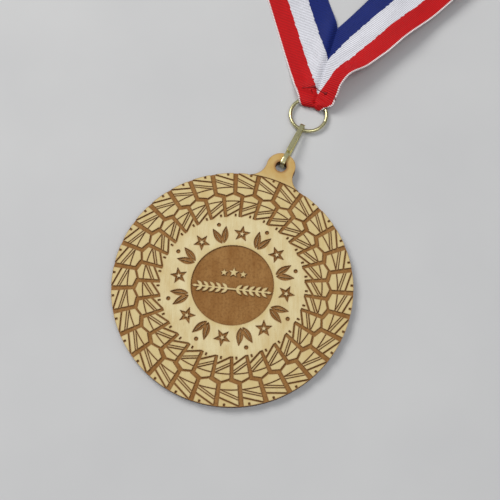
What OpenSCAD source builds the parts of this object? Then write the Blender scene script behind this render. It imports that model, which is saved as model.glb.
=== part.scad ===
// Round engraved plywood medal with a hanging tab, a bent brass clip, a jump ring
// and a folded neck ribbon, lying flat.  Millimetres, +Z up, +Y from the disc to the ribbon.
// The origin is the centre of the disc's flat back.

/* [Disc] */
// Radius of the round disc
disc_r = 45; // [42:0.5:48]
// Thickness of the engraved front veneer
face_t = 0.8; // [0.7:0.1:1]
// Thickness of the core veneer
core_t = 1.4; // [1.2:0.1:1.8]
// Thickness of the back veneer
back_t = 0.8; // [0.6:0.1:1]
// Distance from the disc's centre to the hanging hole
hole_y = 51.3; // [50.8:0.1:52]
// Radius of the hanging hole
hole_r = 2.2; // [2.1:0.05:2.5]
// Radius of the tab around the hole
tab_r = 5.65; // [5.4:0.05:6]
// Radius of the fillets between tab and disc
fillet_r = 6.5; // [6:0.1:7]

/* [Engraving] */
// Depth of the engraving
cut_d = 0.45; // [0.3:0.05:0.5]
// Number of repeats of the woven pattern around the disc
repeats = 31; // [28:1:34]
// Angle of the first spoke from the tab, clockwise
first_a = 3.3; // [0:0.1:11]
// Radius of the engraved centre disc
centre_r = 15.45; // [14.5:0.05:16]
// Number of engraved motifs in the plain ring, stars and sprigs in turn
motifs = 16; // [12:2:18]
// Turn of the centre emblem, counter-clockwise
emblem_a = 15; // [0:1:45]

/* [Clip and ring] */
// Width of the clip's brass strip
strip_w = 1.9; // [1.6:0.1:2.2]
// Thickness of the clip's brass strip
strip_t = 0.7; // [0.6:0.05:0.8]
// Sideways lean of the clip, ring and pocket at rest
lean = 4.4; // [0:0.1:8]
// Diameter of the jump ring's wire
wire_d = 1.4; // [1.2:0.1:1.5]
// Radius of the jump ring, to the middle of its wire
ring_r = 7.25; // [7:0.05:7.5]

/* [Ribbon] */
// Width of the ribbon
ribbon_w = 25; // [24:0.5:25]
// Thickness of a strand's envelope
strand_t = 1.2; // [1:0.1:1.5]
// Thickness of the pocket around the ring
pocket_t = 2.9; // [2.8:0.05:3]
// Length of the folded-up pack of spare ribbon
pack_l = 106; // [100:1:110]
// Thickness of the folded-up pack
pack_t = 5.6; // [5:0.1:6]

/* [Hidden] */
$fn = 96;

ply_t = face_t + core_t + back_t;
slack = 0.05;                        // strip to wood, and other lying contacts
tilt = asin((strip_t + slack) / (disc_r + hole_y + tab_r));
table_z = -disc_r * sin(tilt);       // height of the surface that everything lies on

pitch = 360 / repeats;
bar_u = 0.0975;                      // half width of a spoke, in pitches
rim_cut_r = disc_r + 0.06;           // spokes run out through the rim
score_r = disc_r - 0.1;              // arc line across the tab's root
score_w = 0.3;
back_score_d = 0.12;

eye_y = 18.9;                        // ring wire in the clip's eye, from the hole
eye_z = strip_t + wire_d / 2 + 0.1;  // above the table
clip_end_y = 21.1;                   // outside of the clip's top bend, from the hole
ring_gap = 0.25;                     // gap between the jump ring's ends
ring_gap_a = -2;                     // where that gap is, from the ring's +X
fine = 0.001;

// ---------- outline ----------

// Centre of the right-hand fillet: it touches the disc and the tab from outside.
function fillet_c() =
    let (a = disc_r + fillet_r, b = tab_r + fillet_r,
         y = (a * a - b * b + hole_y * hole_y) / (2 * hole_y))
    [sqrt(a * a - y * y), y];

module outline() {
    c = fillet_c();
    circle(r = disc_r, $fn = 180);
    translate([0, hole_y]) circle(r = tab_r);
    difference() {
        polygon([[0, disc_r - 6], c * disc_r / norm(c), c, [0, hole_y] + (c - [0, hole_y]) * 0.4,
                 [0, hole_y], [0, hole_y] + [-(c[0]), c[1] - hole_y] * 0.4, [-c[0], c[1]],
                 [-c[0], c[1]] * disc_r / norm(c)]);
        for (s = [-1, 1]) translate([s * c[0], c[1]]) circle(r = fillet_r);
    }
}

module ply(z, t) {
    difference() {
        translate([0, 0, z]) linear_extrude(t) outline();
        translate([0, hole_y, z - 1]) cylinder(r = hole_r, h = t + 2);
    }
}

// Lays the wooden disc with its tab leaning on the clip's rear strip.
module lay() {
    rotate([tilt, 0, 0]) children();
}

// ---------- engraving, in two dimensions ----------

// A point at u pitches past the first spoke and r from the centre.
function at(u, r) = let (a = first_a + u * pitch) [r * sin(a), r * cos(a)];

// One repeat of the woven band: a spoke outside and a spoke inside, joined by two branches.
module repeat() {
    in1 = 0.5 - 0.215;
    in2 = 0.5 - 0.01;
    next = 1 - bar_u;
    polygon([at(-bar_u, 45.5), at(bar_u, 45.5), at(bar_u, 37.15), at(in2, 36), at(in2, 35.6),
             at(next + 0.02, 36.85), at(next + 0.02, 36.1), at(in2, 34.85), at(in2, 26.97),
             at(in1, 26.97), at(in1, 34.9), at(-bar_u, 36.05)]);
}

module band_ring(r, w) {
    difference() {
        circle(r = r + w / 2, $fn = 120);
        circle(r = r - w / 2, $fn = 120);
    }
}

module score() {
    intersection() {
        band_ring(score_r, score_w);
        translate([-fillet_c()[0] * 0.9, 0]) square([fillet_c()[0] * 1.8, disc_r + 1]);
    }
}

// A pointed leaf l long and w wide, standing on the origin along +Y.
module leaf(l, w) {
    half = [for (i = [0 : 4]) [w / 2 * sin(i * 45), l * i / 4]];
    polygon(concat(half, [for (i = [3 : -1 : 1]) [-half[i][0], half[i][1]]]));
}

module star(r) {
    polygon([for (i = [0 : 9]) (i % 2 == 0 ? r : 0.42 * r) * [sin(i * 36), cos(i * 36)]]);
}

module sprig() {
    for (s = [-1, 1]) translate([s * 0.35, 0]) rotate(-s * 19) leaf(6.9, 2.5);
    translate([0, 7.6]) circle(r = 0.75, $fn = 14);
}

module motif_ring() {
    for (i = [0 : motifs - 1]) rotate(-(i + 0.5) * 360 / motifs)
        if (i % 2 == 0) translate([0, 16.6]) sprig();
        else translate([0, 20.3]) star(3.3);
}

// The raised emblem: three small stars over a level laurel branch.
module emblem() {
    rotate(emblem_a) {
        for (i = [-1, 0, 1]) translate([i * 3.6, 4.4 + (i == 0 ? 0.4 : 0)]) star(i == 0 ? 2 : 1.5);
        translate([-13, -1.95]) square([26, 0.7]);
        for (s = [-1, 1], i = [0 : 4], k = [-1, 1])
            translate([s * (1.6 + i * 2.35), -1.6 + k * 0.2]) rotate(-s * (90 - k * 38)) leaf(2.9, 1.15);
        for (s = [-1, 1]) translate([s * 12.8, -1.6]) rotate(-s * 90) leaf(2.1, 1.1);
    }
}

module engraving() {
    offset(delta = fine) {
        intersection() {
            circle(r = rim_cut_r, $fn = 180);
            for (i = [0 : repeats - 1]) rotate(-i * pitch) repeat();
        }
        score();
        motif_ring();
        difference() {
            circle(r = centre_r, $fn = 120);
            emblem();
        }
    }
}

// ---------- the wooden disc ----------

module face_ply() {
    color("burlywood") lay() difference() {
        ply(back_t + core_t, face_t);
        translate([0, 0, ply_t - cut_d]) linear_extrude(cut_d + 1) engraving();
    }
}

module core_ply() {
    color("tan") lay() ply(back_t, core_t);
}

module back_ply() {
    color("burlywood") lay() difference() {
        ply(0, back_t);
        translate([0, 0, -1]) linear_extrude(1 + back_score_d) score();
    }
}

// ---------- clip and ring, drawn from the hole, on the table, before their lean ----------

module from_hole() {
    translate([0, hole_y, table_z]) rotate(-lean) children();
}

// A strip drawn edge-on through a list of points, with round joints.
module strip_2d(points, t) {
    for (i = [0 : len(points) - 2]) {
        d = points[i + 1] - points[i];
        translate(points[i]) rotate(atan2(d[1], d[0])) translate([0, -t / 2]) square([norm(d), t]);
    }
    for (p = points) translate(p) circle(d = t, $fn = 24);
}

// The clip edge-on: rear strip, rise through the hole, hook end over the tab, front strip.
function clip_path() =
    let (h = strip_t / 2, tab_top = strip_t + slack + ply_t + 0.25)
    [[6.9, tab_top + h - 0.35], [3.6, tab_top + h + 0.12], [1.55, tab_top + h], [1.15, tab_top + h - 0.4],
     [1.15, h + 0.3], [1.5, h], [clip_end_y - 1.5, h], [clip_end_y - 0.5, h + 0.45],
     [clip_end_y - h, h + 1.35], [clip_end_y - 0.75, h + 2.2], [clip_end_y - 1.8, h + 2.65],
     [6.7, tab_top + h + 0.75]];

module clip() {
    color("darkkhaki") from_hole()
        translate([-strip_w / 2, 0, 0]) rotate([90, 0, 90]) linear_extrude(strip_w)
            strip_2d(clip_path(), strip_t);
}

module jump_ring() {
    half_gap = asin(ring_gap / 2 / ring_r);
    color("darkkhaki") from_hole() translate([0, eye_y + ring_r, eye_z])
        rotate(ring_gap_a + half_gap)
            rotate_extrude(angle = 360 - 2 * half_gap) translate([ring_r, 0]) circle(d = wire_d, $fn = 32);
}

// ---------- ribbon ----------

seam_y = 89;                         // upper end of the pocket, and the fold line of the cloth
cloth_gap = 0.3;
left_dir = 34.5;                     // the strands' directions, from +Y
right_dir = 31.5;
seam_foot = [1.9, seam_y + cloth_gap];
pack_dir = 21.3;                     // direction of the folded pack, from +X
pack_foot = [8, 152.8];

// The pocket: the tip of the V, folded around the ring's wire.
module ribbon_pocket() {
    color("firebrick") difference() {
        translate([0, 0, table_z]) linear_extrude(pocket_t)
            polygon([[-1.9, 79.5], [6.6, 79.9], [9.3, 84.6], [9, seam_y], [-8.9, seam_y], [-5.6, 82.7]]);
        from_hole() translate([0, eye_y + ring_r, eye_z]) rotate_extrude()
            translate([ring_r, 0]) circle(d = wire_d + 0.1, $fn = 32);
    }
}

// Four stitches of thread across the front of the pocket.
module stitching() {
    color("darkred") for (i = [0 : 3])
        translate([-4 + i * 3.4, seam_y - 1.4, table_z + pocket_t + 0.2]) rotate([0, 90, 0])
            cylinder(d = 0.4, h = 2, $fn = 16);
}

// A strand l long whose outer edge starts at foot and whose lower end is cut along the seam.
module strand(foot, dir, side, l) {
    translate([0, 0, table_z]) intersection() {
        linear_extrude(strand_t) translate(foot) rotate(dir * side)
            translate([side > 0 ? 0 : -ribbon_w, -30]) square([ribbon_w, l + 30]);
        linear_extrude(strand_t) translate(seam_foot) rotate(3.5)
            polygon(side > 0 ? [[-0.05, 0], [-0.05, 90], [-90, 90], [-90, 0]]
                             : [[0.05, 0], [0.05, 120], [90, 120], [90, 0]]);
    }
}

// Everything past the near edge of the pack, and everything below the fold line of the cloth.
module past_strands() {
    on_pack() translate([-100, 0, -1]) cube([200, 100, 9]);
    translate([-50, seam_y - 50 + cloth_gap, table_z - 1]) cube([100, 50, 9]);
}

module left_strand() {
    color("white") difference() {
        strand([-9.4, seam_y], left_dir, 1, 90);
        past_strands();
    }
}

module right_strand() {
    color("white") difference() {
        strand([7.6, seam_y], right_dir, -1, 110);
        past_strands();
    }
}

// Moves to the middle of the pack's near edge, with +X along the pack.
module on_pack() {
    translate([pack_foot[0], pack_foot[1], table_z]) rotate(pack_dir) children();
}

// The rest of the neck loop, folded to and fro into a flat pack.
module ribbon_pack() {
    color("midnightblue") on_pack() translate([-pack_l / 2, 0, 0]) cube([pack_l, ribbon_w, pack_t]);
}

face_ply();
core_ply();
back_ply();
clip();
jump_ring();
ribbon_pocket();
stitching();
left_strand();
right_strand();
ribbon_pack();
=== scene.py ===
import math

import bpy
import numpy as np
from mathutils import Matrix, Vector
from mathutils.bvhtree import BVHTree
from mathutils.geometry import delaunay_2d_cdt


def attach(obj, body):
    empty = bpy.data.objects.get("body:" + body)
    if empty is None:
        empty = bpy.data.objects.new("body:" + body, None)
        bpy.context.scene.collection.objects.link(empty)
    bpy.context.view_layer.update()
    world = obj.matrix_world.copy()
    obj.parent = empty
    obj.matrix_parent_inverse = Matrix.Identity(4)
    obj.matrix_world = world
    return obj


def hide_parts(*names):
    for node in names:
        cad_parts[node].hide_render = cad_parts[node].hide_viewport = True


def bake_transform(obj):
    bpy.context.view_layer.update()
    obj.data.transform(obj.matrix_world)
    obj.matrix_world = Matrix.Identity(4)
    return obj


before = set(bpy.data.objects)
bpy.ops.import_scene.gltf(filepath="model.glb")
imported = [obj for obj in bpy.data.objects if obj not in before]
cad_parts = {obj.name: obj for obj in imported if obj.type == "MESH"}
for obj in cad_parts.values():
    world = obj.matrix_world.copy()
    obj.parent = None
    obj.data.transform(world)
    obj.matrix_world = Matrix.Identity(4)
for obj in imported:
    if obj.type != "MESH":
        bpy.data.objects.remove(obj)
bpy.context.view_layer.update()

# Lengths are in millimetres unless a line says otherwise; meshes are written in metres.
MM = 0.001
DISC_R, HOLE_Y, HOLE_R, TAB_R, FILLET_R = 45.0, 51.3, 2.2, 5.65, 6.5
FACE_Z, PLY_T, CUT_D = 2.2, 3.0, 0.45
TILT = math.asin(0.75 / (DISC_R + HOLE_Y + TAB_R))
TABLE_Z = -DISC_R * math.sin(TILT)
LEAN = math.radians(4.4)


# ---------- camera, lights, floor ----------

def make_camera():
    cam = bpy.data.objects.new("camera", bpy.data.cameras.new("camera"))
    bpy.context.scene.collection.objects.link(cam)
    bpy.context.scene.camera = cam
    cam.data.lens, cam.data.sensor_width = 59.89, 36
    cam.data.clip_start, cam.data.clip_end = 0.01, 10
    right = Vector((0.93149, 0.36377, 0.0011)).normalized()
    back = Vector((0.11407, -0.29496, 0.94868)).normalized()
    up = back.cross(right).normalized()
    right = up.cross(back)
    m = Matrix((right, up, back)).transposed().to_4x4()
    m.translation = Vector((36.94, -77.41, 300.3)) * MM
    cam.matrix_world = m


def area_light(name, at, aim, size, power, tint=(1, 1, 1)):
    light = bpy.data.lights.new(name, "AREA")
    light.shape, light.size, light.energy, light.color = "DISK", size, power, tint
    o = bpy.data.objects.new(name, light)
    bpy.context.scene.collection.objects.link(o)
    o.location = Vector(at)
    o.rotation_mode = "QUATERNION"
    o.rotation_quaternion = (Vector(aim) - Vector(at)).to_track_quat("-Z", "Y")


def make_studio():
    scene = bpy.context.scene
    scene.view_settings.view_transform = "Standard"
    world = bpy.data.worlds.new("studio")
    scene.world = world
    world.use_nodes = True
    # a soft tent: bright overhead, darker low down, so metal keeps its dark edges
    nodes, links = world.node_tree.nodes, world.node_tree.links
    split = nodes.new("ShaderNodeSeparateXYZ")
    links.new(nodes.new("ShaderNodeTexCoord").outputs["Generated"], split.inputs[0])
    glow = nodes.new("ShaderNodeMapRange")
    for socket, value in (("From Min", 0.25), ("From Max", 1.0), ("To Min", 0.15), ("To Max", 0.51)):
        glow.inputs[socket].default_value = value
    links.new(split.outputs["Z"], glow.inputs["Value"])
    links.new(glow.outputs["Result"], nodes["Background"].inputs["Strength"])
    nodes["Background"].inputs["Color"].default_value = (0.94, 0.97, 1.0, 1)
    centre = Vector((0.005, 0.04, 0.0))
    key = centre + Vector((-0.926, 0.377, 1.12)).normalized() * 1.3
    area_light("key_light", key, centre, 0.72, 10.0, (1, 0.985, 0.96))
    top = centre + Vector((0.45, -0.2, 1.35))
    area_light("top_light", top, centre, 0.7, 4.6)

    corners = [(x, y, TABLE_Z * MM) for x, y in ((-3, -3), (3, -3), (3, 3), (-3, 3))]
    mesh = bpy.data.meshes.new("floor")
    mesh.from_pydata(corners, [], [(0, 1, 2, 3)])
    floor = bpy.data.objects.new("floor", mesh)
    scene.collection.objects.link(floor)
    g = Graph("floor_paint")
    n = g.node("TexNoise", {"Vector": g.mm(), "Scale": 0.02, "Detail": 3.0})
    g.set("Base Color", g.ramp(n["Fac"], [(0.3, (0.58, 0.58, 0.585)), (0.7, (0.61, 0.61, 0.612))]))
    g.set("Roughness", 0.9)
    g.set("Specular IOR Level", 0.1)
    mesh.materials.append(g.mat)


# ---------- node materials ----------

class Graph:
    """A material's nodes, made with few words."""

    def __init__(self, name):
        self.mat = bpy.data.materials.new(name)
        self.mat.use_nodes = True
        self.tree = self.mat.node_tree
        self.bsdf = self.tree.nodes["Principled BSDF"]

    def put(self, socket, value):
        if isinstance(value, bpy.types.NodeSocket):
            self.tree.links.new(value, socket)
        elif isinstance(value, (tuple, list)) and len(value) == 3 and socket.type == "RGBA":
            socket.default_value = (*value, 1)
        else:
            socket.default_value = value

    def node(self, kind, inputs=None, **settings):
        n = self.tree.nodes.new("ShaderNode" + kind)
        for k, v in settings.items():
            setattr(n, k, v)
        for k, v in (inputs or {}).items():
            self.put(n.inputs[k], v)
        return {o.name: o for o in n.outputs if o.enabled}

    def set(self, name, value):
        self.put(self.bsdf.inputs[name], value)

    def math(self, operation, *values):
        return self.node("Math", dict(enumerate(values)), operation=operation)["Value"]

    def vec(self, operation, *values):
        return self.node("VectorMath", dict(enumerate(values)), operation=operation)["Vector"]

    def mm(self):
        return self.vec("MULTIPLY", self.node("TexCoord")["Object"], (1000, 1000, 1000))

    def split(self, vector):
        s = self.node("SeparateXYZ", {0: vector})
        return s["X"], s["Y"], s["Z"]

    def join(self, x, y, z):
        return self.node("CombineXYZ", {0: x, 1: y, 2: z})["Vector"]

    def mix(self, fac, a, b, blend="MIX"):
        n = self.tree.nodes.new("ShaderNodeMix")
        n.data_type, n.blend_type = "RGBA", blend
        self.put(n.inputs["Factor"], fac)
        self.put(n.inputs[6], a)
        self.put(n.inputs[7], b)
        return n.outputs[2]

    def ramp(self, fac, stops):
        n = self.tree.nodes.new("ShaderNodeValToRGB")
        n.color_ramp.interpolation = "LINEAR"
        while len(n.color_ramp.elements) < len(stops):
            n.color_ramp.elements.new(1.0)
        for e, (at, c) in zip(n.color_ramp.elements, stops):
            e.position = at
            e.color = (*(c if isinstance(c, (tuple, list)) else (c, c, c)), 1)
        self.put(n.inputs[0], fac)
        return n.outputs[0]

    def span(self, value, low, high, to_low=0.0, to_high=1.0):
        n = self.node("MapRange", {"Value": value, "From Min": low, "From Max": high,
                                   "To Min": to_low, "To Max": to_high},
                      interpolation_type="SMOOTHSTEP")
        return n["Result"]

    def bump(self, height, strength, distance):
        n = self.node("Bump", {"Height": height, "Strength": strength, "Distance": distance})
        self.set("Normal", n["Normal"])


def srgb(r, g, b):
    """A colour named by its usual 0-255 values."""
    return tuple(((c / 255 + 0.055) / 1.055) ** 2.4 if c > 10 else c / 255 / 12.92 for c in (r, g, b))


GRAIN_A = 111.3


def wood_colour(g, p, light, dark, seed=0.0):
    """Birch veneer: slow bands along the grain, soft blotches, fine fibres and short pores."""
    x, y, _ = g.split(p)
    c, n = math.cos(math.radians(GRAIN_A)), math.sin(math.radians(GRAIN_A))
    along = g.math("ADD", g.math("MULTIPLY", x, c), g.math("MULTIPLY", y, n))
    across = g.math("SUBTRACT", g.math("MULTIPLY", y, c), g.math("MULTIPLY", x, n))

    def noise(per_mm_along, per_mm_across, shift, **kind):
        at = g.join(g.math("MULTIPLY", along, per_mm_along), g.math("MULTIPLY", across, per_mm_across),
                    seed + shift)
        return g.node("TexNoise", {"Vector": at, "Scale": 1.0, **kind})["Fac"]

    slow = noise(0.035, 0.3, 0, Detail=5.0, Roughness=0.55, Distortion=0.6)
    blotch = noise(0.12, 0.2, 5, Detail=3.0)
    fine = noise(0.22, 5.5, 3, Detail=3.0)
    pore = noise(0.5, 4.2, 7, Detail=1.0)
    tone = g.math("ADD", g.math("MULTIPLY", slow, 0.35), g.math("MULTIPLY", fine, 0.25))
    tone = g.math("ADD", tone, g.math("MULTIPLY", blotch, 0.4))
    colour = g.mix(g.span(tone, 0.34, 0.68), light, dark)
    colour = g.mix(g.span(pore, 0.66, 0.74, 0, 0.35), colour, tuple(c * 0.5 for c in dark))
    return colour, tone, fine


def engraved_top():
    g = Graph("birch_face")
    p = g.mm()
    x, y, _ = g.split(p)
    colour, tone, fine = wood_colour(g, p, srgb(227, 212, 166), srgb(207, 182, 126))
    # laser smoke: a warm tint in the engraved band, at the middle's rim, on the tab and round its hole
    r = g.math("SQRT", g.math("ADD", g.math("MULTIPLY", x, x), g.math("MULTIPLY", y, y)))
    band = g.math("MAXIMUM", g.span(r, 25.5, 30.0, 0.0, 0.5), g.span(r, 15.4, 18.0, 0.45, 0.0))
    colour = g.mix(g.math("MAXIMUM", band, g.span(r, 41.5, 45.0, 0.0, 0.6)), colour, srgb(206, 181, 116))
    on_tab = g.span(y, 41.5, 49.0, 0.0, 0.9)
    cloud = g.node("TexNoise", {"Vector": p, "Scale": 0.35, "Detail": 3.0})["Fac"]
    colour = g.mix(g.math("MULTIPLY", on_tab, g.span(cloud, 0.3, 0.7, 0.7, 1.0)),
                   colour, srgb(194, 153, 82))
    dy = g.math("SUBTRACT", y, HOLE_Y)
    from_hole = g.math("SQRT", g.math("ADD", g.math("MULTIPLY", x, x), g.math("MULTIPLY", dy, dy)))
    ring = g.span(g.math("ADD", from_hole, g.math("MULTIPLY", cloud, 0.9)), 2.7, 3.9, 0.75, 0.0)
    colour = g.mix(ring, colour, srgb(138, 88, 42))
    # singed rim of every cut
    near = g.node("AmbientOcclusion", {"Distance": 0.42 * MM}, samples=8, inside=True, only_local=True)["AO"]
    colour = g.mix(g.span(near, 0.55, 0.97, 0.62, 0.0), colour, srgb(150, 103, 56))
    g.set("Base Color", colour)
    g.set("Roughness", g.span(tone, 0.3, 0.7, 0.52, 0.66))
    g.set("Specular IOR Level", 0.35)
    g.bump(fine, 0.25, 0.05 * MM)
    return g.mat


RASTER_STEP = 0.21


def engraved_floor():
    g = Graph("birch_engraved")
    p = g.mm()
    _, y, _ = g.split(p)
    colour, _, fine = wood_colour(g, p, srgb(170, 126, 74), srgb(144, 98, 50), 11.0)
    wavy = g.math("ADD", y, g.math("MULTIPLY", fine, 0.03))
    raster = g.math("SINE", g.math("MULTIPLY", wavy, 2 * math.pi / RASTER_STEP))
    colour = g.mix(g.span(raster, -1.0, 1.0, 0.0, 0.22), colour, srgb(96, 58, 26))
    char = g.node("TexNoise", {"Vector": p, "Scale": 1.3, "Detail": 4.0})["Fac"]
    colour = g.mix(g.span(char, 0.42, 0.75, 0.0, 0.4), colour, srgb(100, 62, 30))
    near = g.node("AmbientOcclusion", {"Distance": 0.75 * MM}, samples=8, only_local=True)["AO"]
    colour = g.mix(g.span(near, 0.45, 0.95, 0.55, 0.0), colour, srgb(92, 56, 25))
    g.set("Base Color", colour)
    g.set("Roughness", 0.85)
    g.set("Specular IOR Level", 0.15)
    g.bump(g.math("ADD", g.math("MULTIPLY", raster, 0.3), char), 0.5, 0.06 * MM)
    return g.mat


def burnt_edge(g, p, seed):
    """The laser-cut edge of a veneer: brown to black, with upright marks."""
    x, y, z = g.split(p)
    turn = g.math("ARCTAN2", x, y)
    marks_at = g.join(g.math("MULTIPLY", turn, 60.0), g.math("MULTIPLY", z, 0.5), seed)
    marks = g.node("TexNoise", {"Vector": marks_at, "Scale": 2.2, "Detail": 4.0})["Fac"]
    layer_at = g.join(g.math("MULTIPLY", turn, 6.0), g.math("MULTIPLY", z, 4.0), seed)
    layer = g.node("TexNoise", {"Vector": layer_at, "Scale": 1.0, "Detail": 2.0})["Fac"]
    colour = g.ramp(g.math("ADD", g.math("MULTIPLY", marks, 0.7), g.math("MULTIPLY", layer, 0.3)),
                    [(0.30, srgb(56, 31, 15)), (0.5, srgb(98, 60, 29)), (0.72, srgb(142, 94, 50))])
    return colour, marks


def burnt_wall():
    g = Graph("birch_burnt")
    colour, marks = burnt_edge(g, g.mm(), 2.0)
    g.set("Base Color", colour)
    g.set("Roughness", 0.8)
    g.set("Specular IOR Level", 0.2)
    g.bump(marks, 0.4, 0.05 * MM)
    return g.mat


def veneer(name, light, dark, seed):
    """Core or back veneer: its flat sides are plain wood, its edges are burnt."""
    g = Graph(name)
    p = g.mm()
    x, y, _ = g.split(p)
    face, tone, fine = wood_colour(g, p, light, dark, seed)
    edge, marks = burnt_edge(g, p, seed)
    _, _, nz = g.split(g.node("TexCoord")["Normal"])
    upright = g.span(g.math("ABSOLUTE", nz), 0.5, 0.9)
    # smoke drawn in round the outline and the hole, as the beam leaves on a back face
    r = g.math("SQRT", g.math("ADD", g.math("MULTIPLY", x, x), g.math("MULTIPLY", y, y)))
    dy = g.math("SUBTRACT", y, HOLE_Y)
    h = g.math("SQRT", g.math("ADD", g.math("MULTIPLY", x, x), g.math("MULTIPLY", dy, dy)))
    cloud = g.node("TexNoise", {"Vector": p, "Scale": 0.5, "Detail": 3.0})["Fac"]
    rim = g.math("MULTIPLY", g.span(g.math("ADD", r, cloud), 43.9, 45.6), g.span(y, 40.5, 43.0, 1.0, 0.0))
    smoke = g.math("MAXIMUM", rim, g.span(g.math("ADD", h, cloud), 2.6, 3.9, 1.0, 0.0))
    face = g.mix(g.math("MULTIPLY", smoke, 0.65), face, srgb(126, 82, 40))
    g.set("Base Color", g.mix(upright, edge, face))
    g.set("Roughness", g.span(tone, 0.3, 0.7, 0.55, 0.75))
    g.set("Specular IOR Level", 0.3)
    g.bump(g.math("ADD", fine, marks), 0.3, 0.05 * MM)
    return g.mat


def brass(name, seed, light):
    """Lacquered plated brass: faint drawn lines and a little tarnish in patches."""
    g = Graph(name)
    p = g.mm()
    x, y, z = g.split(p)
    drawn_at = g.join(g.math("MULTIPLY", x, 9.0), g.math("MULTIPLY", y, 0.7), g.math("MULTIPLY", z, 9.0))
    drawn_at = g.vec("ADD", drawn_at, (seed, 0, 0))
    drawn = g.node("TexNoise", {"Vector": drawn_at, "Scale": 1.0, "Detail": 3.0})["Fac"]
    patch = g.node("TexNoise", {"Vector": p, "Scale": 0.45, "Detail": 4.0, "Distortion": 0.8})["Fac"]
    colour = g.mix(g.span(patch, 0.35, 0.7), light, tuple(c * 0.82 for c in light))
    g.set("Base Color", g.mix(g.span(drawn, 0.6, 0.85, 0.0, 0.12), colour, srgb(160, 146, 92)))
    g.set("Metallic", 1.0)
    g.set("Roughness", g.span(g.math("ADD", g.math("MULTIPLY", drawn, 0.5), g.math("MULTIPLY", patch, 0.5)),
                              0.3, 0.7, 0.2, 0.28))
    g.bump(drawn, 0.03, 0.005 * MM)
    g.bsdf.inputs["Coat Weight"].default_value = 0.4
    g.bsdf.inputs["Coat Roughness"].default_value = 0.12
    return g.mat


RIB = 0.74


def ribbon_cloth():
    """Striped grosgrain: stripes, ribs and selvage follow the strip's own length and width."""
    g = Graph("grosgrain")
    u, v, _ = g.split(g.node("UVMap", uv_map="strip")["UV"])
    t = g.math("MULTIPLY", u, RIBBON_W)
    s = g.math("MULTIPLY", v, 1000.0)
    rib = g.math("FRACT", g.math("DIVIDE", s, RIB))
    hill = g.math("SINE", g.math("MULTIPLY", rib, math.pi))
    step = g.math("FLOOR", g.math("DIVIDE", s, RIB * 1.5))
    jag = g.node("TexWhiteNoise", {"W": step}, noise_dimensions="1D")["Value"]
    te = g.math("ADD", t, g.math("MULTIPLY", g.math("SUBTRACT", jag, 0.5), 0.42))
    red, white, blue = srgb(207, 14, 20), srgb(234, 234, 242), srgb(22, 40, 118)
    third = RIBBON_W / 3
    colour = g.mix(g.span(te, third - 0.07, third + 0.07), red, white)
    colour = g.mix(g.span(te, 2 * third - 0.07, 2 * third + 0.07), colour, blue)
    # the white weft shows in loops at the outer edge, and its blue ends at the inner one
    loop = g.math("ADD", t, g.math("MULTIPLY", hill, -0.34))
    colour = g.mix(g.span(loop, 0.26, 0.40, 1.0, 0.0), colour, srgb(250, 238, 238))
    back = g.math("SUBTRACT", RIBBON_W, loop)
    colour = g.mix(g.span(back, 0.30, 0.42, 0.6, 0.0), colour, srgb(120, 130, 180))
    yarn_at = g.join(g.math("MULTIPLY", t, 4.6), g.math("MULTIPLY", s, 0.9), 0.0)
    yarn = g.node("TexNoise", {"Vector": yarn_at, "Scale": 1.0, "Detail": 2.0})["Fac"]
    wear_at = g.join(t, g.math("MULTIPLY", s, 0.25), 4.0)
    wear = g.node("TexNoise", {"Vector": wear_at, "Scale": 0.35, "Detail": 3.0})["Fac"]
    # painted shade: the hollows between the ribs are darkened in the colour itself, times the yarn's and the
    # wear's own tone changes
    rib_shade_and_tone = g.math("MULTIPLY", g.span(hill, 0.05, 0.85, 0.50, 1.0), g.span(yarn, 0.3, 0.7, 0.9, 1.06))
    rib_shade_and_tone = g.math("MULTIPLY", rib_shade_and_tone, g.span(wear, 0.3, 0.7, 0.94, 1.04))
    g.set("Base Color", g.mix(1.0, colour, g.join(rib_shade_and_tone, rib_shade_and_tone, rib_shade_and_tone), "MULTIPLY"))
    g.set("Roughness", g.span(yarn, 0.3, 0.7, 0.5, 0.68))
    g.set("Specular IOR Level", 0.2)
    g.bsdf.inputs["Sheen Weight"].default_value = 0.04
    g.bsdf.inputs["Sheen Roughness"].default_value = 0.4
    g.bump(g.math("ADD", hill, g.math("MULTIPLY", yarn, 0.25)), 0.75, 0.16 * MM)
    return g.mat


def thread_cloth():
    g = Graph("twisted_thread")
    x, y, z = g.split(g.mm())
    slant = g.math("ADD", x, g.math("MULTIPLY", g.math("ADD", y, z), 0.9))
    twist = g.math("SINE", g.math("MULTIPLY", slant, 16.0))
    fuzz = g.node("TexNoise", {"Vector": g.mm(), "Scale": 6.0, "Detail": 2.0})["Fac"]
    tone = g.math("ADD", g.math("MULTIPLY", g.span(twist, -1, 1), 0.6), g.math("MULTIPLY", fuzz, 0.4))
    g.set("Base Color", g.ramp(tone, [(0.15, srgb(104, 8, 16)), (0.8, srgb(168, 16, 26))]))
    g.set("Roughness", g.span(fuzz, 0.3, 0.7, 0.55, 0.75))
    g.bump(twist, 0.5, 0.05 * MM)
    return g.mat


# ---------- mesh helpers ----------

def add_piece(name, verts, faces, mats, body=None, replaces=(), smooth=True, face_mats=None):
    mesh = bpy.data.meshes.new(name)
    mesh.from_pydata([tuple(float(c) * MM for c in v) for v in verts], [], faces)
    for m in mats:
        mesh.materials.append(m)
    if face_mats is not None:
        mesh.polygons.foreach_set("material_index", np.array(face_mats, np.int32))
    mesh.polygons.foreach_set("use_smooth", np.full(len(mesh.polygons), smooth))
    mesh.update()
    o = bpy.data.objects.new(name, mesh)
    bpy.context.scene.collection.objects.link(o)
    if body:
        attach(o, body)
    if replaces:
        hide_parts(*replaces)
    return o


def from_hole(points):
    """Points drawn from the hole, before the clip's lean, to the row frame."""
    c, s = math.cos(LEAN), math.sin(LEAN)
    return [(x * c + y * s, HOLE_Y - x * s + y * c, z + TABLE_Z) for x, y, z in points]


def smooth_step(x, a, b):
    u = np.clip((x - a) / (b - a), 0, 1)
    return u * u * (3 - 2 * u)


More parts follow.
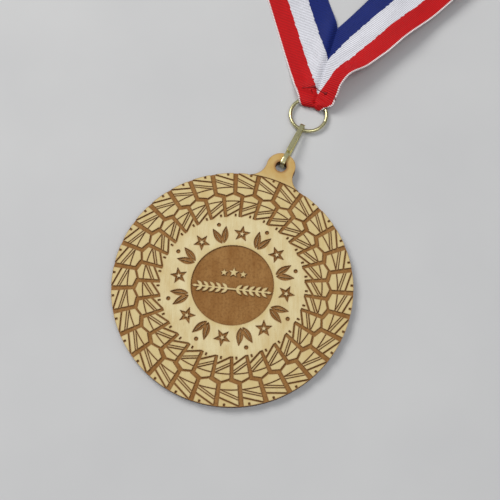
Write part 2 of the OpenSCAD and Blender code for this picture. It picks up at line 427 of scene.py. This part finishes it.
def profile(x, knots):
    """A smooth curve through (x, value) knots, flat at each of them."""
    x = np.asarray(x, float)
    y = np.full(x.shape, float(knots[0][1]))
    for (x0, y0), (x1, y1) in zip(knots, knots[1:]):
        y = y + (y1 - y0) * smooth_step(x, x0, x1)
    return y


def flowing(x, knots):
    """A smooth curve through (x, value) knots that runs on through them."""
    at, value = np.array(knots, float).T
    slope = np.gradient(value, at)
    slope[[0, -1]] = 0
    i = np.clip(np.searchsorted(at, x) - 1, 0, len(at) - 2)
    gap = at[i + 1] - at[i]
    u = np.clip((x - at[i]) / gap, 0, 1)
    ease = u * u * (3 - 2 * u)
    return (value[i] * (1 - ease) + value[i + 1] * ease
            + gap * u * (1 - u) * (slope[i] * (1 - u) - slope[i + 1] * u))


def tube(path, radius, sides):
    """A round tube with closed ends along a path, as (verts, faces)."""
    path = [Vector(p) for p in path]
    verts, faces = [], []
    up = Vector((0, 0, 1))
    for i, p in enumerate(path):
        d = (path[min(i + 1, len(path) - 1)] - path[max(i - 1, 0)]).normalized()
        side = d.cross(up)
        side = side.normalized() if side.length > 1e-6 else Vector((1, 0, 0))
        top = side.cross(d)
        r = radius[i] if isinstance(radius, (list, tuple)) else radius
        for k in range(sides):
            a = 2 * math.pi * k / sides
            verts.append(p + side * (r * math.cos(a)) + top * (r * math.sin(a)))
    for i in range(len(path) - 1):
        for k in range(sides):
            a, b = i * sides + k, i * sides + (k + 1) % sides
            faces.append((a, b, b + sides, a + sides))
    faces.append(tuple(range(sides))[::-1])
    faces.append(tuple(range((len(path) - 1) * sides, len(path) * sides)))
    return verts, faces


# ---------- the engraved face ----------

REPEATS, FIRST_A, BAR_U, IN1, IN2 = 31, 3.3, 0.0975, 0.285, 0.49
CENTRE_R, MOTIFS, EMBLEM_A, LIMIT_R = 15.45, 16, 15.0, 45.06


def polar(u, r):
    a = math.radians(FIRST_A + u * 360 / REPEATS)
    return (r * math.sin(a), r * math.cos(a))


def moved(points, turn=0.0, at=(0, 0)):
    """Points turned counter-clockwise about the origin, then shifted."""
    c, s = math.cos(math.radians(turn)), math.sin(math.radians(turn))
    return [(x * c - y * s + at[0], x * s + y * c + at[1]) for x, y in points]


def circle(r, n, at=(0, 0)):
    turns = [2 * math.pi * i / n for i in range(n)]
    return [(at[0] + r * math.sin(a), at[1] + r * math.cos(a)) for a in turns]


def groove(u1, r1, u2, r2, w):
    a, b = np.array(polar(u1, r1)), np.array(polar(u2, r2))
    d = (b - a) / np.linalg.norm(b - a)
    n = np.array([-d[1], d[0]]) * w / 2
    return [tuple(a + n), tuple(b + n), tuple(b - n), tuple(a - n)]


def leaf(length, width, n=10):
    right = [(width / 2 * math.sin(math.pi * (i / n) ** 0.85), length * i / n) for i in range(n + 1)]
    return right + [(-x, y) for x, y in right[-2:0:-1]]


def star(r, inner=0.42):
    return [((r if i % 2 == 0 else inner * r) * math.sin(math.radians(36 * i)),
             (r if i % 2 == 0 else inner * r) * math.cos(math.radians(36 * i))) for i in range(10)]


def outline():
    """The disc with its tab and fillets, as one closed line."""
    a, b = DISC_R + FILLET_R, TAB_R + FILLET_R
    cy = (a * a - b * b + HOLE_Y ** 2) / (2 * HOLE_Y)
    cx = math.sqrt(a * a - cy * cy)
    at_disc = math.atan2(cx, cy)
    at_tab = math.atan2(cx, cy - HOLE_Y)
    line = [(TAB_R * math.sin(t), HOLE_Y + TAB_R * math.cos(t)) for t in np.linspace(-at_tab, at_tab, 60)]
    # right fillet, from the tab down to the disc
    t0, t1 = at_tab + math.pi, at_disc + math.pi
    t1 += 2 * math.pi if t1 < t0 - math.pi else 0
    fillet = [(cx + FILLET_R * math.sin(t), cy + FILLET_R * math.cos(t))
              for t in np.linspace(t0, t1, 26)[1:-1]]
    line += fillet
    line += [(DISC_R * math.sin(t), DISC_R * math.cos(t))
             for t in np.linspace(at_disc, 2 * math.pi - at_disc, 640)]
    left = [(-x, y) for x, y in fillet]
    line += left[::-1]
    return line[::-1]


def engraving():
    """(kind, closed line) of everything the laser drew; keep shapes stand up inside a cut."""
    out = []
    for k in range(REPEATS):
        at = lambda u, r: polar(u + k, r)
        out.append(("cut", [at(-BAR_U, 45.5), at(BAR_U, 45.5), at(BAR_U, 37.15), at(IN2, 36), at(IN2, 26.97),
                            at(IN1, 26.97), at(IN1, 34.9), at(-BAR_U, 36.05)]))
        for u1, r1, u2, r2, w in (
            (IN2 - 0.03, 35.25, 1 - BAR_U + 0.03, 36.6, 0.75),
            (BAR_U - 0.03, 45.0, 1 - BAR_U + 0.03, 41.85, 0.55),
            (BAR_U - 0.03, 42.87, 1 - BAR_U + 0.03, 39.9, 0.3),
            (BAR_U - 0.03, 42.0, 1 - BAR_U + 0.03, 38.98, 0.3),
            (IN2 - 0.03, 30.15, 1 + IN1 + 0.03, 33.4, 0.4),
            (IN2 - 0.03, 29.25, 1 + IN1 + 0.03, 32.35, 0.3),
            (IN2 - 0.06, 27.15, 1 + IN1 + 0.03, 30.2, 0.62),
            (0.63, 44.4, 0.715, 44.4, 0.95),
            (1.02, 27.6, 1.14, 27.6, 1.05),
        ):
            out.append(("cut", groove(u1 + k, r1, u2 + k, r2, w)))
    for i in range(MOTIFS):
        turn = -(i + 0.5) * 360 / MOTIFS
        if i % 2 == 0:
            vein = [(-0.09, 1.3), (0.09, 1.3), (0.05, 5.6), (-0.05, 5.6)]
            for s in (-1, 1):
                for kind, shape in (("cut", leaf(6.9, 2.5)), ("keep", vein)):
                    out.append((kind, moved(moved(shape, -s * 19, (s * 0.35, 16.6)), turn)))
            out.append(("cut", moved(circle(0.75, 20, (0, 24.2)), turn)))
        else:
            out.append(("cut", moved(moved(star(3.3), 0, (0, 20.3)), turn)))
            out.append(("keep", moved(moved(star(1.15), 0, (0, 20.3)), turn)))
    out.append(("cut", circle(CENTRE_R, 220)))
    lift = lambda pts: ("keep", moved(pts, EMBLEM_A))
    for i in (-1, 0, 1):
        out.append(lift(moved(star(2.0 if i == 0 else 1.5), 0, (i * 3.6, 4.8 if i == 0 else 4.4))))
    out.append(lift([(-13, -1.95), (13, -1.95), (13, -1.25), (-13, -1.25)]))
    for s in (-1, 1):
        for i in range(5):
            for k in (-1, 1):
                foot = (s * (1.6 + i * 2.35), -1.6 + k * 0.2)
                out.append(lift(moved(leaf(2.9, 1.15), -s * (90 - k * 38), foot)))
        out.append(lift(moved(leaf(2.1, 1.1), -s * 90, (s * 12.8, -1.6))))
    return out


def make_face():
    """Triangulates the drawing, then raises it as tops, floors and walls."""
    shapes = [("body", outline()), ("hole", circle(HOLE_R, 64, (0, HOLE_Y))), ("limit", circle(LIMIT_R, 640))]
    for r in (39.06, 33.35):
        shapes += [("band", circle(r + 0.175, 360)), ("bore", circle(r - 0.175, 360))]
    # under the tab the disc's own edge goes on as an engraved line
    arc = [(r * math.sin(a), r * math.cos(a)) for r, way in ((44.75, 1), (45.05, -1))
           for a in np.linspace(-0.2435, 0.2435, 40)[::way]]
    shapes.append(("cut", arc))
    shapes += engraving()
    verts, faces = [], []
    for _, line in shapes:
        area = sum(a[0] * b[1] - b[0] * a[1] for a, b in zip(line, line[1:] + line[:1]))
        line = line if area > 0 else line[::-1]
        faces.append(list(range(len(verts), len(verts) + len(line))))
        verts += [Vector(p) for p in line]
    kinds = [k for k, _ in shapes]
    xy, _, tris, _, _, inside = delaunay_2d_cdt(verts, [], faces, 1, 1e-5)

    TOP, FLOOR, BOTTOM = 0, 1, 2
    level = []
    for ids in inside:
        names = [kinds[i] for i in ids]
        if "body" not in names or "hole" in names:
            level.append(None)
            continue
        band = names.count("band") > names.count("bore")
        cut = ("cut" in names or band) and "limit" in names and "keep" not in names
        level.append(FLOOR if cut else TOP)

    index, points = {}, []
    level_z = {TOP: PLY_T, FLOOR: PLY_T - CUT_D, BOTTOM: FACE_Z}

    def at(v, lev):
        if (v, lev) not in index:
            index[(v, lev)] = len(points)
            points.append((xy[v][0], xy[v][1], level_z[lev]))
        return index[(v, lev)]

    out, mats, sides = [], [], {}
    floors_at = set()
    for t, lev in zip(tris, level):
        if lev is None:
            continue
        if lev == FLOOR:
            floors_at.update(t)
        out.append(tuple(at(v, lev) for v in t))
        mats.append(lev)
        out.append(tuple(at(v, BOTTOM) for v in t[::-1]))
        mats.append(2)
        for a, b in zip(t, t[1:] + t[:1]):
            sides[(a, b)] = lev
    for (a, b), lev in sides.items():
        other = sides.get((b, a))
        if other is None:
            # an outside wall, with a point at floor height where a groove runs out
            loop = [at(a, BOTTOM), at(b, BOTTOM)]
            if lev == TOP and b in floors_at:
                loop.append(at(b, FLOOR))
            loop += [at(b, lev), at(a, lev)]
            if lev == TOP and a in floors_at:
                loop.append(at(a, FLOOR))
            out.append(tuple(loop))
            mats.append(2)
        elif lev == TOP and other == FLOOR:
            out.append((at(a, FLOOR), at(b, FLOOR), at(b, TOP), at(a, TOP)))
            mats.append(2)
    c, s = math.cos(TILT), math.sin(TILT)
    points = [(x, y * c - z * s, y * s + z * c) for x, y, z in points]
    return add_piece("engraved_face", points, out, [engraved_top(), engraved_floor(), burnt_wall()],
                     "medal", ["face_ply"], smooth=False, face_mats=mats)


# ---------- clip and ring ----------

STRIP_W, STRIP_T = 1.9, 0.7
EYE_Y, EYE_Z, RING_R, WIRE_R = 18.9, 1.5, 7.25, 0.7


def rounded_path(points, radii, step=0.12):
    """A line through points whose corners are rounded by the given radii."""
    points = [np.array(p, float) for p in points]
    out = [points[0]]
    for i in range(1, len(points) - 1):
        a, b, c = points[i - 1], points[i], points[i + 1]
        u, w = (a - b) / np.linalg.norm(a - b), (c - b) / np.linalg.norm(c - b)
        half = math.acos(np.clip(u @ w, -1, 1)) / 2
        r = radii[i - 1]
        reach = min(r / math.tan(half), np.linalg.norm(a - b) * 0.49, np.linalg.norm(c - b) * 0.49)
        r = reach * math.tan(half)
        centre = b + (u + w) / np.linalg.norm(u + w) * r / math.sin(half)
        p0, p1 = b + u * reach, b + w * reach
        a0 = math.atan2(*(p0 - centre)[::-1])
        a1 = math.atan2(*(p1 - centre)[::-1])
        while a1 - a0 > math.pi:
            a1 -= 2 * math.pi
        while a1 - a0 < -math.pi:
            a1 += 2 * math.pi
        n = max(4, int(abs(a1 - a0) * max(r, 0.3) / step) + 2)
        out += [centre + r * np.array([math.cos(t), math.sin(t)]) for t in np.linspace(a0, a1, n)]
    out.append(points[-1])
    line = [out[0]]
    for p in out[1:]:
        gap = np.linalg.norm(p - line[-1])
        if gap < 1e-3:
            continue
        start, parts = line[-1], int(gap / 0.8) + 1
        line += [start + (p - start) * k / parts for k in range(1, parts + 1)]
    return line


def make_clip():
    """One bent strip with rounded edges: rear strip, hook through the hole, eye, front strip."""
    line = rounded_path(
        [(6.9, 4.02), (3.7, 4.47), (1.15, 4.38), (1.15, 0.35), (20.75, 0.35), (20.75, 2.77), (6.7, 5.1)],
        [2.0, 0.62, 0.5, 1.2, 1.2])
    c = 0.26
    w, h = STRIP_W / 2, STRIP_T / 2
    section = []
    for sx, sn in ((1, 1), (-1, 1), (-1, -1), (1, -1)):
        quarter = [(sx * (w - c) + sx * c * math.cos(a), sn * (h - c) + sn * c * math.sin(a))
                   for a in np.linspace(0, math.pi / 2, 4)]
        section += quarter if sx * sn > 0 else quarter[::-1]
    verts, faces = [], []
    n = len(section)
    for i, p in enumerate(line):
        d = line[min(i + 1, len(line) - 1)] - line[max(i - 1, 0)]
        d = d / np.linalg.norm(d)
        up = np.array([-d[1], d[0]])
        end = 0.86 if i in (0, len(line) - 1) else 1.0
        for sx, sn in section:
            q = p + up * sn * end
            verts.append((sx * end, q[0], q[1]))
    for i in range(len(line) - 1):
        for k in range(n):
            a, b = i * n + k, i * n + (k + 1) % n
            faces.append((a, a + n, b + n, b))
    faces.append(tuple(range(n)))
    faces.append(tuple(range((len(line) - 1) * n, len(line) * n))[::-1])
    # painted reflection: the clip's brass gets a lighter base than the ring's, standing in for the brighter
    # glint its flat strip shows
    plating = brass("clip_plating", 1.0, srgb(230, 222, 170))
    o = add_piece("brass_clip", from_hole(verts), faces, [plating], "clip", ["clip"])
    edge_split(o)
    return o


def edge_split(o, degrees=38):
    m = o.modifiers.new("creases", "EDGE_SPLIT")
    m.split_angle = math.radians(degrees)


def make_ring():
    """The jump ring: its cut ends sit slightly out of line."""
    gap, at = 0.16, math.radians(-2)
    half = gap / 2 / RING_R
    path, radius = [], []
    n = 150
    for i in range(n + 1):
        f = i / n
        a = at + half + f * (2 * math.pi - 2 * half)
        off = 0.10 * (smooth_step(np.array(f), 0.93, 1.0) - smooth_step(np.array(f), 0.07, 0.0))
        r = RING_R + 0.05 * float(smooth_step(np.array(f), 0.9, 1.0))
        path.append((r * math.cos(a), EYE_Y + RING_R + r * math.sin(a), EYE_Z + float(off) * 0.5))
        radius.append(WIRE_R * (0.93 if i in (0, n) else 1.0))
    verts, faces = tube(path, radius, 24)
    # painted shade: the ring's brass gets a darker base than the clip's, to tone down the key light's glint
    # on the wire
    plating = brass("ring_plating", 5.0, srgb(208, 200, 150))
    o = add_piece("brass_ring", from_hole(verts), faces, [plating], "ring", ["jump_ring"])
    edge_split(o, 50)
    return o


# ---------- the ribbon ----------

RIBBON_W, CUT_LENGTH, CLOTH_T = 25.0, 800.0, 0.4
TIP = np.array([3.65, 71.2])
FOLD_Y = 81.1
SEAM_A, HALF_A = 4.86, 30.6
PACK_A, PACK_N, PACK_MID = 21.3, 152.0, 63.1
BEND_R = 0.3
FOLD_R, FOLD_Z = 0.95, 1.5
LIE_Z = 0.26
RAMP_L, RAMP_R = (120, 134), (114, 138.5)


def unit(deg):
    return np.array([math.cos(math.radians(deg)), math.sin(math.radians(deg))])


DIR_L, DIR_R = unit(90 + SEAM_A + HALF_A), unit(90 + SEAM_A - HALF_A)
IN_L, IN_R = np.array([DIR_L[1], -DIR_L[0]]), np.array([-DIR_R[1], DIR_R[0]])
SEAM_D = unit(90 + SEAM_A)
COT = 1 / math.tan(math.radians(HALF_A))
P_AX, N_AX = unit(PACK_A), unit(PACK_A + 90)


class Flat:
    """A stiff move in the plane, from (across, along) on the cut strip to the table."""

    def __init__(self, m, o):
        self.m, self.o = m, o

    def put(self, q):
        return q @ self.m.T + self.o

    def back(self, p):
        return (p - self.o) @ self.m

    def mirrored(self, point, direction):
        r = 2 * np.outer(direction, direction) - np.eye(2)
        return Flat(r @ self.m, point + r @ (self.o - point))


def pack_folds():
    """Fold lines on the table, in order along the strip: two diagonals and six turns between."""
    mid_t = RIBBON_W / 2
    left0, right0 = TIP + mid_t * (COT * DIR_L + IN_L), TIP + mid_t * (COT * DIR_R + IN_R)
    len_l = (PACK_N - left0 @ N_AX) / (DIR_L @ N_AX)
    len_r = (PACK_N - right0 @ N_AX) / (DIR_R @ N_AX)
    c1, c8 = left0 + len_l * DIR_L, right0 + len_r * DIR_R
    run = (CUT_LENGTH - len_l - len_r - (c8 - c1) @ P_AX) / 6
    far, near = PACK_MID + run / 2, PACK_MID - run / 2
    u1, u8 = DIR_L + P_AX, P_AX - DIR_R
    folds = [(c1, u1 / np.linalg.norm(u1))]
    for i, d in enumerate((0.5, 0.4, -0.6, -0.5, 0.1, 0.1)):
        folds.append(((far if i % 2 == 0 else near) * P_AX + d * P_AX + PACK_N * N_AX, N_AX))
    folds.append((c8, u8 / np.linalg.norm(u8)))
    return folds


def heights(q, d):
    """Height of the cloth's middle over the table, q above the tip's fold and d from the seam."""
    lobe = profile(q, [(-1, 2.42), (1.8, 2.95), (4.0, 2.95), (7.0, 1.3), (8.6, 1.35), (13, 0.6), (20, LIE_Z)])
    seam = profile(q, [(-1, 2.3), (1.5, 1.6), (2.9, 2.42), (4.3, 2.42), (5.7, 1.3), (7.0, 0.9), (11, 1.0),
                       (20, 0.8), (29, LIE_Z)])
    width = profile(q, [(0, 0.7), (7, 0.9), (13, 1.5), (24, 1.1)])
    # the left strand swells a little just before it dips to the seam
    swell = profile(q, [(6, 0), (10, 1.4), (20, 1.7), (36, 1.7), (52, 0.4)])
    swell = swell * np.exp(-(((d - 2.6) / 3.2) ** 2))
    return lobe + swell + (seam - lobe - swell) * np.exp(-((d / width) ** 1.5))


def banked(s, t):
    """Cross-section of the right strand: from the seam it rises outward, so it stands off the table."""
    t_in = np.minimum(RIBBON_W, s / COT)
    seam_q = s / math.cos(math.radians(HALF_A)) * SEAM_D[1] + TIP[1] - FOLD_Y
    z_in = heights(seam_q, np.zeros_like(s)) + flowing(s, [(38, 0), (54, 0.7), (70, 2.2), (84, 4.8)])
    # slopes in degrees, beside the seam and at the outer edge
    inner = profile(s, [(4, 0), (24, 42), (36, 25), (54, 24), (84, 0)])
    outer = profile(s, [(6, 0), (20, 36), (48, 4), (84, 0)])
    n = 40
    f = (np.arange(n) + 0.5) / n
    x = t[:, None] + (t_in - t)[:, None] * f
    out = 1 - x / t_in[:, None]
    slope = np.radians(inner[:, None] * (1 - out) + outer[:, None] * out)
    step = (t_in - t)[:, None] / n
    return t_in - (np.cos(slope) * step).sum(1), z_in + (np.sin(slope) * step).sum(1)


def tip_fold(x, y, z):
    """Turns what lies below the tip's fold line around the ring's wire and under."""
    line = profile(x, [(-4.5, 82.6), (-1.5, 81.5), (1.0, 81.9), (3.1, 82.4), (3.9, 81.8), (5.2, 81.7),
                       (9, 82.3)])
    q = y - line
    over = q < 0
    turn = np.clip(-q / FOLD_R, 0, math.pi)
    rest = np.maximum(-q - math.pi * FOLD_R, 0)
    y2 = np.where(over, line - FOLD_R * np.sin(turn) + rest, y)
    under = FOLD_Z + FOLD_R * np.cos(turn) - 0.2 * smooth_step(rest, 0, 4)
    return y2, np.where(over, under, z)


def rows_of(folds):
    """(centre, slope) of every row across the strip: denser at folds and near the seam."""
    place = Flat(np.stack([IN_L, DIR_L], 1), TIP)
    keys, places = [], [place]
    for point, direction in folds:
        u = direction @ place.m
        q = place.back(point)
        slope = u[1] / u[0]
        keys.append((q[1] + slope * (RIBBON_W / 2 - q[0]), slope))
        place = place.mirrored(point, direction)
        places.append(place)
    end = place.back(TIP)[1]
    half_w = RIBBON_W / 2
    rows = []

    def fill(c0, k0, c1, k1, step):
        n = max(2, int(round((c1 - c0) / step)))
        rows.extend((c0 + (c1 - c0) * i / n, k0 + (k1 - k0) * i / n) for i in range(n))

    at, slope = half_w * COT, COT
    for i, (c, k) in enumerate(keys):
        stretch = math.sqrt(1 + k * k)
        span = 1.35 * math.pi / 2 * BEND_R * stretch
        fill(at, slope, c - span, k, 0.5 if i == 0 else 3.0)
        fill(c - span, k, c + span, k, span / 7)
        at, slope = c + span, k
    fill(at, slope, end - half_w * COT, -COT, 0.5)
    return rows, keys, places, end


def make_ribbon():
    """One strip, cut 800 mm long, sewn to itself at the seam, laid as a V and folded up beyond it."""
    folds = pack_folds()
    rows, keys, places, end = rows_of(folds)
    ts = np.concatenate([np.arange(0, 6.2, 0.14), np.linspace(6.2, RIBBON_W, 40)])
    c = np.array([r[0] for r in rows])[:, None]
    k = np.array([r[1] for r in rows])[:, None]
    T = np.broadcast_to(ts[None, :], (len(rows), len(ts))).copy()
    S = c + k * (T - RIBBON_W / 2)
    flat = np.stack([T.ravel(), S.ravel()], 1)

    # where each row's panel is, then the bends between panels
    panel = np.zeros(T.shape, int)
    for ck, kk in keys:
        panel += S > ck + kk * (T - RIBBON_W / 2)
    panel = panel.ravel()
    level = LIE_Z + 2 * BEND_R * np.arange(len(places))
    xy, z = np.zeros_like(flat), np.zeros(len(flat))
    for i, place in enumerate(places):
        on = panel == i
        xy[on], z[on] = place.put(flat[on]), level[i]
    for i, (point, direction) in enumerate(folds):
        p = places[i].put(flat)
        side = np.array([-direction[1], direction[0]])
        ahead = places[i].m[:, 1] @ side
        side = side * (1 if ahead > 0 else -1)
        d = (p - point) @ side
        near = (np.abs(panel - i - 0.5) < 1) & (np.abs(d) < math.pi / 2 * BEND_R)
        phi = d[near] / BEND_R + math.pi / 2
        out = -math.pi / 2 * BEND_R + BEND_R * np.sin(phi)
        xy[near] = p[near] - (d[near] - out)[:, None] * side
        z[near] = level[i] + BEND_R * (1 - np.cos(phi))

    # the two lengths that show: soft heights, the bank, the tip around the ring
    left, right = panel == 0, panel == len(places) - 1
    s_r, t = end - flat[:, 1], flat[:, 0]
    x, y = xy[left].T
    d = np.abs((xy[left] - TIP) @ np.array([SEAM_D[1], -SEAM_D[0]]))
    zl = heights(y - FOLD_Y, d)
    fade = smooth_step(xy[left] @ N_AX, *RAMP_L)
    keep = z[left]
    zl = zl * (1 - fade) + keep * fade
    y2, zl = tip_fold(x, y, zl)
    xy[left], z[left] = np.stack([x, y2], 1), zl

    own = xy[right].copy()
    keep = z[right]
    sr, tr = s_r[right], t[right]
    t2, za = banked(sr, tr)
    b = smooth_step(own[:, 1] - FOLD_Y, 0.3, 5)
    # the outer edge is drawn in to the tip's point
    drawn = profile(own[:, 1] - FOLD_Y, [(-2, 1.9), (0.2, 1.5), (1.6, 0.2), (3.0, -0.6), (6.0, -0.6), (9, 0)])
    t3 = tr + (t2 - tr) * b + drawn * (1 - tr / np.minimum(RIBBON_W, np.maximum(sr / COT, 1)))
    laid = own + (t3 - tr)[:, None] * IN_R
    d = np.abs((own - TIP) @ np.array([SEAM_D[1], -SEAM_D[0]]))
    zr = heights(own[:, 1] - FOLD_Y, d) * (1 - b) + za * b
    fade = smooth_step(laid @ N_AX, *RAMP_R)
    zr = zr * (1 - fade) + np.maximum(keep, level[-1]) * fade
    zr = np.where(keep < level[-1] - 1e-6, keep, zr)
    y2, zr = tip_fold(laid[:, 0], laid[:, 1], zr)
    xy[right], z[right] = np.stack([laid[:, 0], y2], 1), zr

    mid = np.concatenate([xy, z[:, None] + TABLE_Z], 1).reshape(*T.shape, 3)
    along = np.roll(mid, -1, 0) - np.roll(mid, 1, 0)
    across = np.gradient(mid, axis=1)
    normal = np.cross(across, along)
    normal /= np.maximum(np.linalg.norm(normal, axis=2, keepdims=True), 1e-9)
    half = CLOTH_T / 2
    skins = [mid + normal * half, mid - normal * half]
    verts = np.concatenate([s.reshape(-1, 3) for s in skins])

    nr, nt = T.shape
    faces = []
    for i in range(nr):
        j = (i + 1) % nr
        for m in range(nt - 1):
            a, b2, c2, d2 = i * nt + m, i * nt + m + 1, j * nt + m + 1, j * nt + m
            faces.append((a, b2, c2, d2))
            faces.append((nr * nt + d2, nr * nt + c2, nr * nt + b2, nr * nt + a))
        for m, flip in ((0, True), (nt - 1, False)):
            a, b2 = i * nt + m, j * nt + m
            quad = (a, b2, b2 + nr * nt, a + nr * nt)
            faces.append(quad[::-1] if flip else quad)
    o = add_piece("neck_ribbon", verts, faces, [ribbon_cloth()])
    uv = o.data.uv_layers.new(name="strip")
    ids = np.zeros(len(o.data.loops), np.int32)
    o.data.loops.foreach_get("vertex_index", ids)
    base = ids % (nr * nt)
    us, vs = T.ravel()[base] / RIBBON_W, S.ravel()[base] / 1000.0
    # the faces that close the loop run on past the far end of the strip
    starts = np.zeros(len(o.data.polygons), np.int32)
    totals = np.zeros(len(o.data.polygons), np.int32)
    o.data.polygons.foreach_get("loop_start", starts)
    o.data.polygons.foreach_get("loop_total", totals)
    for st, tot in zip(starts, totals):
        r = base[st:st + tot] // nt
        if r.max() == nr - 1 and r.min() == 0:
            first = r == 0
            vs[st:st + tot][first] = (end - S.ravel()[base[st:st + tot][first]]) / 1000.0
    uv.data.foreach_set("uv", np.stack([us, vs], 1).ravel())
    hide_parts("ribbon_pocket", "left_strand", "right_strand", "ribbon_pack")
    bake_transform(o)
    return o


def make_stitches(ribbon):
    """The row of stitches that closes the tip round the ring, lying on the cloth."""
    mesh = ribbon.data
    cloth = BVHTree.FromPolygons([v.co / MM for v in mesh.vertices],
                                 [tuple(p.vertices) for p in mesh.polygons])
    line = [(-4.6, 87.7), (-3.2, 88.3), (-1.7, 88.9), (0.3, 89.6), (2.1, 89.4), (3.6, 88.8), (5.3, 88.1)]
    verts, faces = [], []

    def stitch(a, b, radius, rise):
        path = []
        for f in np.linspace(0.05, 0.95, 11):
            x, y = np.array(a) + (np.array(b) - np.array(a)) * f
            hit = cloth.ray_cast(Vector((x, y, 30)), Vector((0, 0, -1)))[0]
            top = hit.z if hit else LIE_Z
            path.append((x, y, top + rise - 0.42 * abs(2 * (f - 0.5)) ** 4))
        v, f2 = tube(path, radius, 10)
        faces.extend(tuple(q + len(verts) for q in g) for g in f2)
        verts.extend(v)

    for a, b in zip(line, line[1:]):
        stitch(a, b, 0.17, 0.15)
    stitch((9.3, 86.3), (10.2, 85.6), 0.2, 0.2)
    for x, y in ((0.0, 89.6), (5.4, 88.1)):
        stitch((x - 0.55, y + 0.2), (x + 0.5, y - 0.3), 0.3, 0.26)
        stitch((x - 0.35, y - 0.45), (x + 0.4, y + 0.4), 0.26, 0.34)
    return add_piece("stitch_thread", verts, faces, [thread_cloth()], "ring", ["stitching"])


# ---------- put together ----------

make_camera()
make_studio()
make_face()
for node, mat in (("core_ply", veneer("core_veneer", srgb(196, 168, 120), srgb(168, 134, 88), 21.0)),
                  ("back_ply", veneer("back_veneer", srgb(222, 204, 160), srgb(200, 174, 122), 33.0))):
    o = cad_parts[node]
    o.data.materials.clear()
    o.data.materials.append(mat)
make_clip()
make_ring()
make_stitches(make_ribbon())

bpy.context.view_layer.update()
